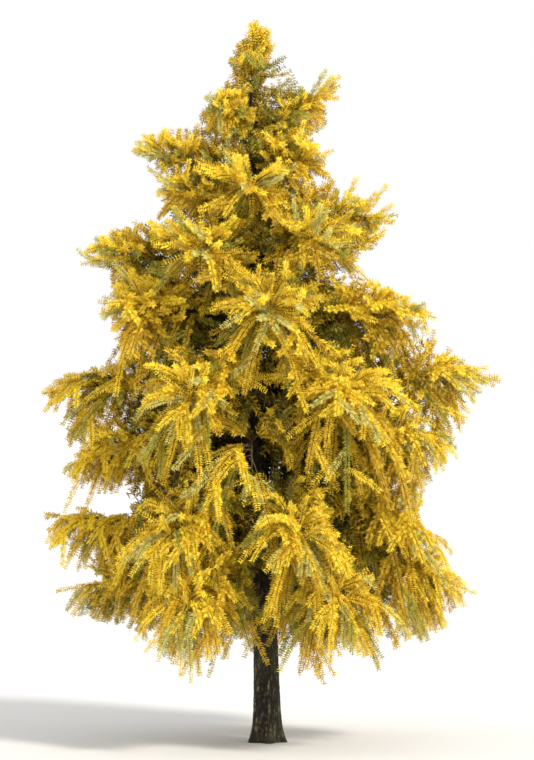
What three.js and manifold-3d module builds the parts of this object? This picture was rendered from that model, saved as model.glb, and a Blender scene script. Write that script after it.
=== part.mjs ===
// A tall larch in its autumn gold: one straight trunk that runs up through the crown, tiers of boughs that
// arch out from it, and on each bough a mass of arching and hanging sprays. The tree stands on the flat cut
// of its trunk at ground level. Its front faces -Y, its right side +X and its top +Z. Sizes are in mm.
import * as THREE from 'three';
import { mergeVertices } from 'three/addons/utils/BufferGeometryUtils.js';
import Module from 'manifold-3d';

const wasm = await Module();
wasm.setup();

const GAP = 0.3; // between two pieces that meet
const DEGREE = Math.PI / 180;
const WHOLE_TURN = 2 * Math.PI;

// The trunk.
const HEIGHT = 12000;
const TRUNK_TOP = 10950;
const TIP_RADIUS = 20;
const FOOT_RADIUS = 216; // above the root flare, on top of TIP_RADIUS
const TAPER_POWER = 1.05;
const FLARE_RADIUS = 58;
const FLARE_HEIGHT = 260;
const FLARE_LOBES = 5;
const LOBE_DEPTH = 0.2;
const LEAN = 240; // to the left, reached at LEAN_HEIGHT
const LEAN_FORWARD = 60;
const LEAN_HEIGHT = 9000;
const TRUNK_SIDES = 12;
const TRUNK_RINGS = [0, 70, 170, 330, 620, 1200, 2200, 3400, 4700, 6100, 7500, 8800, 10000, TRUNK_TOP];

// The limbs. One that reaches as far as FULL_REACH is this thick at the trunk and at its tip.
const FULL_REACH = 3600;
const LIMB_RADIUS = 52;
const LIMB_TIP_RADIUS = 9;
const LIMB_TAPER_POWER = 0.75;
const LIMB_SIDES = 3;
const LIMB_SWAY = 90; // how far it wanders sideways, to one side or the other
const LIMB_ROOT = 0.004; // share of its length at which the wood starts, inside the trunk
const BOUGH_SEGMENTS = 4;
const STEM_SEGMENTS = 4;
const STEM_END = 0.82; // share of the limb at which the wood ends and the last spray carries it on

// The laterals. A lateral leaves its limb at ROOT_ANGLE near the trunk and at TIP_ANGLE near the limb's tip.
const FIRST_LATERAL = 0.12; // share of the limb between its bare part and its first lateral
const LAST_LATERAL = 0.78;
const FULLEST = 0.55; // share of the limb at which the laterals are longest
const FULLNESS_AT_TRUNK = 0.35; // their length there, where the limbs stand close, over the longest
const FULLNESS_AT_TIP = 0.5;
const LEADER_TAPER = 0.3; // length of the leader's uppermost laterals over its lowest ones
const LENGTH_SPREAD = 0.18;
const ROOT_ANGLE = 78;
const TIP_ANGLE = 40;
const ANGLE_SPREAD = 16;
const RISE_SPREAD = 0.16;
const UNDER_FALL = 0.9; // every second pair of laterals starts this much more steeply downwards
const SPIRAL = 137.5; // turn from one of the leader's laterals to the next
const END_SPRAY_ROOT = 0.8;
const END_SPRAY_DROOP = 0.3; // of its tier's

// The sprays of needles, as three-sided blades with teeth.
const BLADE_WIDTH = 270; // half the width across the tips of the teeth, on a blade of BLADE_LENGTH
const BLADE_LENGTH = 1000;
const TEETH = 2;
const TOOTH_TIP = 0.62; // where in its stretch of the blade a tooth is widest
const TOOTH_SWEEP = 0.06; // how far a tooth is swept forward, over the blade's length
const TOOTH_LOSS = 0.22; // how much narrower each tooth is than the one before
const NOTCH_SHARE = 0.55;
const CREST_SHARE = 0.26; // height of the blade's ridge over its half width
const KEEL_SHARE = 0.1; // depth of its edges under its line

// The space that a mass keeps to.
const SPACE_GAP = 46;
const LIMB_CLEARANCE = 40;
const BARE_STEPS = 4;
const CENTRE_STEPS = 8;
const TRIES = [[1, 1], [0.92, 0.7], [0.8, 0.5], [0.66, 0.5], [0.5, 0.6]]; // shares of length and spread

const BARK = { color: 0x5d5138, roughness: 0.95, metalness: 0 };
const BOUGH_BARK = { color: 0x4a3f2a, roughness: 0.95, metalness: 0 };
const NEEDLES = { color: 0xe8b92a, roughness: 0.7, metalness: 0 };

// Each tier: the share of a limb that bears no sprays, the length of its laterals, how far they hang and how
// steeply they rise at first (both as shares of their length), how far under the limb the middle of its
// foliage lies, and how many laterals there are. Where a tier has boughs, the bare part of each limb is one,
// and elsewhere it is the stem of the mass. Each limb: its turn round the trunk in degrees from +X, the
// height of its root, its reach from the trunk, the height of its tip, and how far its middle arches over
// the straight line between them.
const TIERS = [
  {
    name: 'skirt', bare: 0.2, lateral: 1100, hang: 0.5, rise: 0.38, drop: 180, laterals: 11,
    hasBoughs: true,
    limbs: {
      right: [-8, 2930, 3550, 2500, 300],
      front_right: [-62, 2850, 3150, 2050, 450],
      front_left: [-118, 2800, 3100, 2000, 450],
      left: [170, 2620, 3530, 2480, 160],
      back: [84, 2800, 3150, 2150, 360],
    },
  },
  {
    name: 'lower', bare: 0.2, lateral: 1250, hang: 0.7, rise: 0.4, drop: 180, laterals: 11,
    hasBoughs: true,
    limbs: {
      right: [-18, 4000, 3200, 3350, 300],
      front: [-74, 3950, 3050, 3050, 420],
      front_left: [-128, 4080, 2950, 3200, 300],
      left: [180, 4130, 3600, 3800, -250],
      back_left: [122, 4050, 3000, 3300, 250],
      back_right: [46, 3900, 3100, 3300, 300],
    },
  },
  {
    name: 'hanging', bare: 0.2, lateral: 1250, hang: 0.85, rise: 0.5, drop: 200, laterals: 11,
    hasBoughs: true,
    limbs: {
      right: [-20, 4950, 3350, 4950, 250],
      front: [-92, 4900, 2550, 4350, 420],
      left: [182, 4950, 3250, 4550, 330],
      back_left: [128, 4950, 2800, 4450, 330],
      back_right: [42, 4950, 2800, 4500, 330],
    },
  },
  {
    name: 'middle', bare: 0.15, lateral: 1300, hang: 0.7, rise: 0.7, drop: 200, laterals: 11,
    limbs: {
      right: [2, 5650, 4040, 6020, 180],
      front_right: [-52, 5700, 3000, 5400, 450],
      front_left: [-116, 5750, 2950, 5400, 420],
      left: [176, 5650, 3600, 5800, 220],
      back_left: [118, 5700, 2900, 5400, 350],
      back_right: [60, 5750, 3000, 5450, 350],
    },
  },
  {
    name: 'upper', bare: 0.15, lateral: 1250, hang: 0.65, rise: 0.7, drop: 200, laterals: 11,
    limbs: {
      right: [-10, 6750, 2850, 7200, 60],
      front: [-84, 6750, 2600, 6950, 380],
      left: [-162, 6850, 2650, 7100, 220],
      back_left: [122, 6750, 2550, 6870, 280],
      back_right: [54, 6800, 2550, 7000, 260],
    },
  },
  {
    name: 'high', bare: 0.15, lateral: 1150, hang: 0.5, rise: 0.75, drop: 180, laterals: 11,
    limbs: {
      right: [10, 7850, 2100, 8350, 150],
      front_right: [-54, 7850, 2200, 8250, 280],
      front_left: [-120, 7800, 2150, 8050, 280],
      left: [172, 7850, 2900, 7980, 150],
      back: [90, 7850, 2150, 8300, 200],
    },
  },
  {
    name: 'crown', bare: 0.14, lateral: 1000, hang: 0.4, rise: 0.75, drop: 160, laterals: 10,
    limbs: {
      right: [-14, 8700, 2250, 8700, 40],
      front: [-92, 8850, 1600, 9100, 220],
      left: [-168, 8850, 1600, 9150, 150],
      back: [84, 8800, 1700, 9100, 220],
    },
  },
  {
    name: 'top', bare: 0.12, lateral: 900, hang: 0.3, rise: 0.75, drop: 140, laterals: 9,
    limbs: {
      right: [-28, 9550, 1200, 9600, 100],
      left: [-178, 9600, 1950, 9850, -40],
      back: [70, 9600, 1300, 9850, 150],
    },
  },
  {
    name: 'spire', bare: 0.12, lateral: 660, hang: 0.2, rise: 0.7, drop: 100, laterals: 9,
    limbs: {
      right: [0, 10150, 1350, 10950, -60],
      left: [-138, 10250, 800, 10600, 60],
      back: [110, 10250, 900, 10650, 60],
    },
  },
  {
    name: 'leader', bare: 0.02, lateral: 640, hang: -0.05, rise: 0.3, drop: 0, laterals: 12,
    isLeader: true,
    limbs: { top: [0, TRUNK_TOP, 60, HEIGHT, 0] },
  },
];

const vector = (x, y, z) => new THREE.Vector3(x, y, z);
const { lerp, clamp, smoothstep } = THREE.MathUtils;
const along = (start, direction, length) => start.clone().addScaledVector(direction, length);
const shares = (from, to, steps) => Array.from({ length: steps + 1 }, (_, i) => lerp(from, to, i / steps));

// Repeatable numbers from 0 to 1 for one lateral, from the number of its limb and its own.
function dice(limbNumber, number) {
  const MULTIPLIER = 48271;
  const MODULUS = 2147483647;
  let state = (limbNumber * 7919 + number * 104729 + 12345) % MODULUS;
  const roll = () => {
    state = (state * MULTIPLIER) % MODULUS;
    return state / MODULUS;
  };
  roll();
  roll();
  return roll;
}

// The closed skin over rings that have the same number of points, and that may run to a point at both ends.
// Rings run counterclockwise seen from the end.
function loft(rings, root, tip) {
  const sides = rings[0].length;
  const points = rings.flat().flatMap((point) => [...point]);
  const faces = [];
  for (let r = 0; r + 1 < rings.length; r++) {
    for (let s = 0; s < sides; s++) {
      const a = r * sides + s;
      const b = r * sides + ((s + 1) % sides);
      faces.push(a, b, b + sides, a, b + sides, a + sides);
    }
  }
  const last = (rings.length - 1) * sides;
  if (root && tip) {
    points.push(...root, ...tip);
    for (let s = 0; s < sides; s++) {
      const next = (s + 1) % sides;
      faces.push(next, s, last + sides, last + s, last + next, last + sides + 1);
    }
  } else {
    for (let s = 1; s + 1 < sides; s++) {
      faces.push(0, s + 1, s, last, last + s, last + s + 1);
    }
  }
  const geometry = new THREE.BufferGeometry();
  geometry.setAttribute('position', new THREE.Float32BufferAttribute(points, 3));
  geometry.setIndex(faces);
  return geometry;
}

function toSolid(geometry) {
  const merged = mergeVertices(geometry, 1e-3);
  return new wasm.Manifold(
    new wasm.Mesh({
      numProp: 3,
      vertProperties: new Float32Array(merged.attributes.position.array),
      triVerts: new Uint32Array(merged.index.array),
    }),
  );
}

// The one closed body of a fused solid: loose scraps are dropped and sealed hollows filled.
function toGeometry(solid) {
  const SIMPLIFY = 0.02;
  const [body] = solid.decompose().sort((a, b) => b.volume() - a.volume());
  const { vertProperties, triVerts } = body.simplify(SIMPLIFY).getMesh();
  const geometry = new THREE.BufferGeometry();
  geometry.setAttribute('position', new THREE.BufferAttribute(new Float32Array(vertProperties), 3));
  geometry.setIndex(new THREE.BufferAttribute(new Uint32Array(triVerts), 1));
  geometry.computeVertexNormals();
  return geometry;
}

const root = new THREE.Group();
function addMesh(name, geometry, look) {
  const mesh = new THREE.Mesh(geometry, new THREE.MeshStandardMaterial(look));
  mesh.name = name;
  root.add(mesh);
}

function trunkAxis(z) {
  const share = smoothstep(z, 0, LEAN_HEIGHT);
  return vector(-LEAN * share, -LEAN_FORWARD * share, z);
}

function trunkRadius(z) {
  const taper = FOOT_RADIUS * Math.pow(1 - z / HEIGHT, TAPER_POWER);
  return TIP_RADIUS + taper + FLARE_RADIUS * Math.exp(-z / FLARE_HEIGHT);
}

// The trunk with the lobes of its root flare, or a skin that stands a little clear of it all round.
function trunkGeometry(clearance) {
  return loft(TRUNK_RINGS.map((z) => {
    const centre = trunkAxis(z);
    if (z === 0) centre.z -= clearance;
    if (z === TRUNK_TOP) centre.z += clearance;
    const lobes = LOBE_DEPTH * Math.exp(-z / FLARE_HEIGHT);
    return Array.from({ length: TRUNK_SIDES }, (_, s) => {
      const turn = (s / TRUNK_SIDES) * WHOLE_TURN;
      const radius = trunkRadius(z) * (1 + lobes * Math.cos(FLARE_LOBES * turn + 1)) + clearance;
      return vector(centre.x + radius * Math.cos(turn), centre.y + radius * Math.sin(turn), centre.z);
    });
  }));
}

function limbAt(limb, share) {
  const point = along(limb.base, limb.out, limb.reach * share);
  point.addScaledVector(limb.across, limb.sway * Math.sin(Math.PI * share));
  point.z = lerp(limb.rootHeight, limb.tipHeight, share) + 4 * limb.arch * share * (1 - share);
  return point;
}

function limbDirection(limb, share) {
  const STEP = 1e-3;
  return limbAt(limb, share + STEP).sub(limbAt(limb, share - STEP)).normalize();
}

function limbRadius(limb, share) {
  const full = LIMB_RADIUS * Math.min(1, limb.reach / FULL_REACH);
  return lerp(full, LIMB_TIP_RADIUS, Math.pow(clamp(share, 0, 1), LIMB_TAPER_POWER));
}

// A limb's wood between two shares of its length, as a tapering tube whose first end stands back by a gap.
function limbGeometry(limb, from, to, segments, gap) {
  return loft(shares(from, to, segments).map((share) => {
    const forward = limbDirection(limb, share);
    const up = forward.clone().cross(limb.across).normalize();
    const side = up.clone().cross(forward);
    const centre = along(limbAt(limb, share), forward, share === from ? gap : 0);
    const radius = limbRadius(limb, share);
    return Array.from({ length: LIMB_SIDES }, (_, s) => {
      const turn = (s / LIMB_SIDES) * WHOLE_TURN;
      return along(along(centre, side, radius * Math.cos(turn)), up, radius * Math.sin(turn));
    });
  }));
}

// How long the laterals are along a limb: shorter towards the trunk and towards the tip.
function fullness(share) {
  const inner = Math.min(1, share / FULLEST);
  const outer = Math.max(0, (share - FULLEST) / (1 - FULLEST));
  return lerp(FULLNESS_AT_TRUNK, 1, inner) * lerp(1, FULLNESS_AT_TIP, outer * outer);
}

// All limbs, each with the line of its bare part and the middle line of the space that its sprays keep to.
const limbs = TIERS.flatMap((tier) => Object.entries(tier.limbs).map(([side, sizes]) => {
  const [turn, rootHeight, reach, tipHeight, arch] = sizes;
  const out = vector(Math.cos(turn * DEGREE), Math.sin(turn * DEGREE), 0);
  const across = vector(-out.y, out.x, 0);
  return { tier, side, rootHeight, reach, tipHeight, arch, out, across, base: trunkAxis(rootHeight) };
}));
limbs.forEach((limb, number) => {
  const { bare, drop } = limb.tier;
  limb.number = number;
  limb.sway = ((number % 2 ? 1 : -1) * LIMB_SWAY * limb.reach) / FULL_REACH;
  limb.bareLine = shares(0, bare, BARE_STEPS).map((share) => limbAt(limb, share));
  limb.centreLine = shares(bare, 1, CENTRE_STEPS).map((share) => {
    const point = limbAt(limb, share);
    point.z -= drop * fullness(share);
    return point;
  });
});

const closest = vector(0, 0, 0);
const stretch = new THREE.Line3();
function distanceToLine(point, line) {
  let least = Infinity;
  for (let i = 0; i + 1 < line.length; i++) {
    stretch.set(line[i], line[i + 1]).closestPointToPoint(point, true, closest);
    least = Math.min(least, closest.distanceTo(point));
  }
  return least;
}

// Whether a point is in the limb's own space: nearer to its middle line than to any other, and off the wood.
function inOwnSpace(point, limb) {
  const axis = trunkAxis(point.z);
  const fromTrunk = Math.hypot(point.x - axis.x, point.y - axis.y);
  if (point.z < TRUNK_TOP && fromTrunk < trunkRadius(point.z) + LIMB_CLEARANCE) return false;
  const own = distanceToLine(point, limb.centreLine);
  return limbs.every((other) => {
    if (other === limb) return true;
    if (distanceToLine(point, other.centreLine) < own + SPACE_GAP) return false;
    return distanceToLine(point, other.bareLine) > LIMB_RADIUS + LIMB_CLEARANCE;
  });
}

// The line of a spray: straight out at first, then bending down under its own weight.
function sprayPath(start, direction, length, hang) {
  return (share) => {
    const point = along(start, direction, length * share);
    point.z -= hang * length * share * share;
    return point;
  };
}

// The rings of a spray's blade: three-sided, with teeth of needles that are swept towards its tip.
function bladeRings(path, flat, length) {
  const STEP = 0.01;
  const halfWidth = BLADE_WIDTH * Math.sqrt(length / BLADE_LENGTH);
  const ring = (share, width, sweep) => {
    const centre = path(share);
    const forward = path(share + STEP).sub(path(share - STEP)).normalize();
    const crest = forward.clone().cross(flat).normalize();
    const edge = along(along(centre, forward, sweep * length), crest, -KEEL_SHARE * width);
    return [along(edge, flat, width), along(centre, crest, CREST_SHARE * width), along(edge, flat, -width)];
  };
  const rings = [];
  for (let tooth = 0; tooth < TEETH; tooth++) {
    const width = halfWidth * (1 - TOOTH_LOSS * tooth);
    if (tooth) rings.push(ring(tooth / TEETH, NOTCH_SHARE * width, 0));
    rings.push(ring((tooth + TOOTH_TIP) / TEETH, width, TOOTH_SWEEP));
  }
  return rings;
}

// One spray as a solid, drawn in towards its limb or left out where it would leave the limb's space.
function spray(limb, start, forward, outward, length, hang) {
  for (const [lengthShare, spread] of TRIES) {
    const direction = along(forward, outward, spread).normalize();
    const flat = vector(direction.y, -direction.x, 0).normalize();
    const path = sprayPath(start, direction, length * lengthShare, hang);
    const rings = bladeRings(path, flat, length * lengthShare);
    const tip = path(1);
    if ([...rings.flat(), tip].every((point) => inOwnSpace(point, limb))) {
      return toSolid(loft(rings, start, tip));
    }
  }
  return null;
}

// The spray that one lateral carries. Laterals go to the left and right by turns, and every second pair of
// them hangs under the limb. On the leader they go round it in a spiral instead.
function lateralSpray(limb, number) {
  const { bare, lateral, laterals, hang, rise, isLeader } = limb.tier;
  const roll = dice(limb.number, number);
  const place = (number + 0.5) / laterals;
  const share = lerp(bare + FIRST_LATERAL, LAST_LATERAL, place);
  const angle = (lerp(ROOT_ANGLE, TIP_ANGLE, place) + ANGLE_SPREAD * (roll() - 0.5)) * DEGREE;
  const forward = limbDirection(limb, share);
  const outward = limb.across.clone().multiplyScalar((number + limb.number) % 2 ? 1 : -1);
  if (isLeader) outward.applyAxisAngle(forward, number * SPIRAL * DEGREE);
  outward.multiplyScalar(Math.sin(angle));
  forward.multiplyScalar(Math.cos(angle));
  const isUnder = !isLeader && Math.floor(number / 2) % 2 === 1;
  forward.z += rise - (isUnder ? UNDER_FALL : 0) + RISE_SPREAD * (roll() - 0.5);
  const longest = lateral * (isLeader ? lerp(1, LEADER_TAPER, place) : fullness(share));
  const length = longest * (1 + LENGTH_SPREAD * (2 * roll() - 1));
  return spray(limb, limbAt(limb, share), forward, outward, length, hang);
}

// The spray that carries a limb on to its tip.
function endSpray(limb) {
  const start = limbAt(limb, END_SPRAY_ROOT);
  const forward = limbAt(limb, 1).sub(start);
  const length = forward.length();
  const droop = END_SPRAY_DROOP * Math.max(0, limb.tier.hang);
  forward.divideScalar(length);
  forward.z += droop;
  return spray(limb, start, forward, vector(0, 0, 0), length, droop);
}

// One mass: its stem and its sprays, all fused. The stem meets its bough's tip or the trunk.
function massSolid(limb) {
  const { bare, laterals, isLeader, hasBoughs } = limb.tier;
  const from = hasBoughs ? bare : isLeader ? 0 : LIMB_ROOT;
  const gap = hasBoughs || isLeader ? GAP : 0;
  const pieces = [toSolid(limbGeometry(limb, from, STEM_END, STEM_SEGMENTS, gap))];
  for (let number = 0; number < laterals; number++) {
    pieces.push(lateralSpray(limb, number));
  }
  pieces.push(endSpray(limb));
  return wasm.Manifold.union(pieces.filter((piece) => piece));
}

const trunkAndGap = toSolid(trunkGeometry(GAP));
addMesh('trunk', trunkGeometry(0), BARK);
for (const limb of limbs) {
  const name = `${limb.tier.name}_${limb.side}`;
  if (limb.tier.hasBoughs) {
    const bough = toSolid(limbGeometry(limb, LIMB_ROOT, limb.tier.bare, BOUGH_SEGMENTS, 0));
    addMesh(`${name}_bough`, toGeometry(bough.subtract(trunkAndGap)), BOUGH_BARK);
  }
  addMesh(`${name}_sprays`, toGeometry(massSolid(limb).subtract(trunkAndGap)), NEEDLES);
}

export default root;
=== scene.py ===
# %% [markdown]
# # A golden larch in autumn
#
# A tall larch stands alone, every spray of its soft needles turned gold before it falls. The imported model
# gives its trunk, its boughs and one solid for each mass of foliage. Here those solids are replaced by bark
# with relief, by twigs, and by hundreds of thousands of needles that grow by the rule of the solids.

# %% Load the frame
import math
import random
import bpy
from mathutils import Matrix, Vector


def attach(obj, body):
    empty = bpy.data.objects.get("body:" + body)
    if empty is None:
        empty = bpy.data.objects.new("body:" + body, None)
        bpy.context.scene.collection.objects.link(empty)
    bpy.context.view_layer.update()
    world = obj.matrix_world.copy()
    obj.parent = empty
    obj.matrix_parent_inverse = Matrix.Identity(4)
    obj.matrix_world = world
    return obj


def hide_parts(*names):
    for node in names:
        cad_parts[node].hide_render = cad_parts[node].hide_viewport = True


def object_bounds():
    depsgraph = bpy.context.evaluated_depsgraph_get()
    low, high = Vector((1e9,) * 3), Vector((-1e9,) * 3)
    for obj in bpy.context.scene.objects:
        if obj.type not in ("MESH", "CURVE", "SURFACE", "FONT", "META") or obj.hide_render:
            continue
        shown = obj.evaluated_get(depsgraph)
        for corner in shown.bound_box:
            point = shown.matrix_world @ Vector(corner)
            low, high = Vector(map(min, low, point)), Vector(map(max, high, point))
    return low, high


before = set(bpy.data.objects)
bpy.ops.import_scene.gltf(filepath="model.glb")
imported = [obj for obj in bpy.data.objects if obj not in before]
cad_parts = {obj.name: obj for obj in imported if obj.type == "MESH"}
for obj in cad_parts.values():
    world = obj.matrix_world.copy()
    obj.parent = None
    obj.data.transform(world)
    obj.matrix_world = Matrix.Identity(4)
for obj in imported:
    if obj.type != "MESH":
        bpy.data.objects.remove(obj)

from types import SimpleNamespace

import bpy
import numpy as np
from mathutils import Vector, noise

cad_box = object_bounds()
print("CAD box", cad_box)

# %% [markdown]
# ## Helpers
#
# Node trees are long to write by hand. One function adds a node, sets its properties, and sets each input or
# links it to an output, or to the first output of a node. Colours are picked as sRGB hex values, as from a
# paint chart, but Blender works in linear light, so one function turns them.

# %% Helpers
MM = 0.001
scene = bpy.context.scene


def linear(hex_colour):
    """Turns an sRGB hex colour to linear RGBA."""
    channels = [int(hex_colour[i:i + 2], 16) / 255 for i in (0, 2, 4)]
    return [c / 12.92 if c <= 0.04045 else ((c + 0.055) / 1.055) ** 2.4 for c in channels] + [1]


def add(tree, kind, inputs=None, **settings):
    """Adds a node with its settings, and with each input set, or linked to an output or a node."""
    node = tree.nodes.new(kind)
    for name, value in settings.items():
        setattr(node, name, value)
    for name, value in (inputs or {}).items():
        if isinstance(value, bpy.types.Node):
            value = value.outputs[0]
        if isinstance(value, bpy.types.NodeSocket):
            tree.links.new(value, node.inputs[name])
        else:
            node.inputs[name].default_value = value
    return node


def matt(name, colour, roughness, ior=1.5):
    """A plain matt material, with its node tree and its shader's inputs."""
    material = bpy.data.materials.new(name)
    material.use_nodes = True
    surface = material.node_tree.nodes["Principled BSDF"].inputs
    surface["Base Color"].default_value = linear(colour)
    surface["Roughness"].default_value = roughness
    surface["IOR"].default_value = ior
    return material, material.node_tree, surface


def lerp(a, b, share):
    return a + (b - a) * share


def smoothstep(value, low, high):
    share = np.clip((value - low) / (high - low), 0, 1)
    return share * share * (3 - 2 * share)


# %% [markdown]
# ## Camera
#
# The tree is seen from far off and from half its height, so that neither its foot nor its tip is drawn out.
# A long lens at 60 m gives that flat view. The picture's height covers a little more than the tree.

# %% Camera
VIEW_DISTANCE = 60.0
VIEW_HEIGHT = 6.03
PICTURE_COVERS = 12.67  # metres of height in the plane of the trunk
SENSOR = 36.0

camera_data = bpy.data.cameras.new("camera")
camera_data.sensor_fit = "VERTICAL"
camera_data.sensor_height = SENSOR
camera_data.lens = SENSOR * VIEW_DISTANCE / PICTURE_COVERS
camera_data.clip_end = 5000
camera = bpy.data.objects.new("camera", camera_data)
camera.location = (0, -VIEW_DISTANCE, VIEW_HEIGHT)
camera.rotation_euler = (math.radians(90), 0, 0)
scene.collection.objects.link(camera)
scene.camera = camera

# %% [markdown]
# ## Light and floor
#
# Soft studio light: a pale surround lights the tree from all sides, and one broad sun from the right, in
# front and above, gives the crown its lit side and lets the hollows between the sprays go dark. The floor is
# a plain pale sheet that runs out of sight, a hair below the flat cut of the trunk.

# %% Light and floor
SURROUND = "ffffff"
SURROUND_STRENGTH = 1.0
SUN_STRENGTH = 3.25
SUN_SOFTNESS = 12  # degrees
SUN_FROM = Vector((0.85, -0.9, 1.0))
FLOOR_SIZE = 3000.0
FLOOR_DROP = 2 * MM

world = bpy.data.worlds.new("surround")
world.use_nodes = True
background = world.node_tree.nodes["Background"].inputs
background["Color"].default_value = linear(SURROUND)
background["Strength"].default_value = SURROUND_STRENGTH
scene.world = world
scene.view_settings.view_transform = "Standard"

sun_data = bpy.data.lights.new("sun", "SUN")
sun_data.energy = SUN_STRENGTH
sun_data.angle = math.radians(SUN_SOFTNESS)
sun_data.color = linear("fff8ee")[:3]
sun = bpy.data.objects.new("sun", sun_data)
sun.rotation_euler = SUN_FROM.to_track_quat("Z", "Y").to_euler()
scene.collection.objects.link(sun)

half = FLOOR_SIZE / 2
corners = [(-half, -half), (half, -half), (half, half), (-half, half)]
floor_mesh = bpy.data.meshes.new("floor")
floor_mesh.from_pydata([(x, y, -FLOOR_DROP) for x, y in corners], [], [(0, 1, 2, 3)])
floor = bpy.data.objects.new("floor", floor_mesh)
scene.collection.objects.link(floor)
floor_mesh.materials.append(matt("matt_floor_paint", "d8d8d7", 0.9)[0])

# %% [markdown]
# ## The tree's sizes
#
# The foliage has to grow where the solids are, so the sizes that shaped them are written again, in
# millimetres. A tier is a storey of limbs: its fields are the share of a limb that is bare, its longest
# lateral, how far a lateral hangs and rises, how far the foliage's middle drops, and the count of laterals.
# Each limb is given by its turn round the trunk, its root's height, its reach, its tip's height and its arch.

# %% Sizes of trunk and limbs
HEIGHT = 12000
TRUNK_TOP = 10950
TIP_RADIUS = 20
FOOT_RADIUS = 216
TAPER_POWER = 1.05
FLARE_RADIUS = 58
FLARE_HEIGHT = 260
FLARE_LOBES = 5
LOBE_DEPTH = 0.2
LEAN = 240
LEAN_FORWARD = 60
LEAN_HEIGHT = 9000
FULL_REACH = 3600
LIMB_RADIUS = 52
LIMB_TIP_RADIUS = 9
LIMB_TAPER_POWER = 0.75
LIMB_SWAY = 90

TIER_FIELDS = ("name", "bare", "lateral", "hang", "rise", "drop", "laterals", "limbs")
TIERS = [
    ("skirt", 0.2, 1100, 0.5, 0.38, 180, 11, dict(
        right=(-8, 2930, 3550, 2500, 300), front_right=(-62, 2850, 3150, 2050, 450),
        front_left=(-118, 2800, 3100, 2000, 450), left=(170, 2620, 3530, 2480, 160),
        back=(84, 2800, 3150, 2150, 360))),
    ("lower", 0.2, 1250, 0.7, 0.4, 180, 11, dict(
        right=(-18, 4000, 3200, 3350, 300), front=(-74, 3950, 3050, 3050, 420),
        front_left=(-128, 4080, 2950, 3200, 300), left=(180, 4130, 3600, 3800, -250),
        back_left=(122, 4050, 3000, 3300, 250), back_right=(46, 3900, 3100, 3300, 300))),
    ("hanging", 0.2, 1250, 0.85, 0.5, 200, 11, dict(
        right=(-20, 4950, 3350, 4950, 250), front=(-92, 4900, 2550, 4350, 420),
        left=(182, 4950, 3250, 4550, 330), back_left=(128, 4950, 2800, 4450, 330),
        back_right=(42, 4950, 2800, 4500, 330))),
    ("middle", 0.15, 1300, 0.7, 0.7, 200, 11, dict(
        right=(2, 5650, 4040, 6020, 180), front_right=(-52, 5700, 3000, 5400, 450),
        front_left=(-116, 5750, 2950, 5400, 420), left=(176, 5650, 3600, 5800, 220),
        back_left=(118, 5700, 2900, 5400, 350), back_right=(60, 5750, 3000, 5450, 350))),
    ("upper", 0.15, 1250, 0.65, 0.7, 200, 11, dict(
        right=(-10, 6750, 2850, 7200, 60), front=(-84, 6750, 2600, 6950, 380),
        left=(-162, 6850, 2650, 7100, 220), back_left=(122, 6750, 2550, 6870, 280),
        back_right=(54, 6800, 2550, 7000, 260))),
    ("high", 0.15, 1150, 0.5, 0.75, 180, 11, dict(
        right=(10, 7850, 2100, 8350, 150), front_right=(-54, 7850, 2200, 8250, 280),
        front_left=(-120, 7800, 2150, 8050, 280), left=(172, 7850, 2900, 7980, 150),
        back=(90, 7850, 2150, 8300, 200))),
    ("crown", 0.14, 1000, 0.4, 0.75, 160, 10, dict(
        right=(-14, 8700, 2250, 8700, 40), front=(-92, 8850, 1600, 9100, 220),
        left=(-168, 8850, 1600, 9150, 150), back=(84, 8800, 1700, 9100, 220))),
    ("top", 0.12, 900, 0.3, 0.75, 140, 9, dict(
        right=(-28, 9550, 1200, 9600, 100), left=(-178, 9600, 1950, 9850, -40),
        back=(70, 9600, 1300, 9850, 150))),
    ("spire", 0.12, 660, 0.2, 0.7, 100, 9, dict(
        right=(0, 10150, 1350, 10950, -60), left=(-138, 10250, 800, 10600, 60),
        back=(110, 10250, 900, 10650, 60))),
    ("leader", 0.02, 640, -0.05, 0.3, 0, 12, dict(
        top=(0, TRUNK_TOP, 60, HEIGHT, 0))),
]

# %% [markdown]
# ## Lines of trunk and limbs
#
# The trunk's axis leans a little to the left on its way up. A limb runs out from it in an arch, with a slight
# sway to one side, as a branch does that once had to reach round another. Everything else hangs on these
# lines, so each is a small function that gives a point for a share of the length.

# %% Lines of trunk and limbs


def trunk_axis(z):
    """Points of the trunk's axis at these heights, in mm."""
    share = smoothstep(z, 0, LEAN_HEIGHT)
    return np.stack([-LEAN * share, -LEAN_FORWARD * share, z + 0 * share], axis=-1)


def trunk_radius(z):
    taper = FOOT_RADIUS * (1 - np.asarray(z) / HEIGHT) ** TAPER_POWER
    return TIP_RADIUS + taper + FLARE_RADIUS * np.exp(-np.asarray(z) / FLARE_HEIGHT)


def limb_at(limb, share):
    point = limb.base + limb.out * limb.reach * share
    point = point + limb.across * limb.sway * math.sin(math.pi * share)
    point[2] = lerp(limb.root_z, limb.tip_z, share) + 4 * limb.arch * share * (1 - share)
    return point


def unit(vector):
    return vector / np.linalg.norm(vector)


def limb_direction(limb, share):
    return unit(limb_at(limb, share + 1e-3) - limb_at(limb, share - 1e-3))


def limb_radius(limb, share):
    full = LIMB_RADIUS * min(1, limb.reach / FULL_REACH)
    return lerp(full, LIMB_TIP_RADIUS, min(1, share) ** LIMB_TAPER_POWER)


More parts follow.
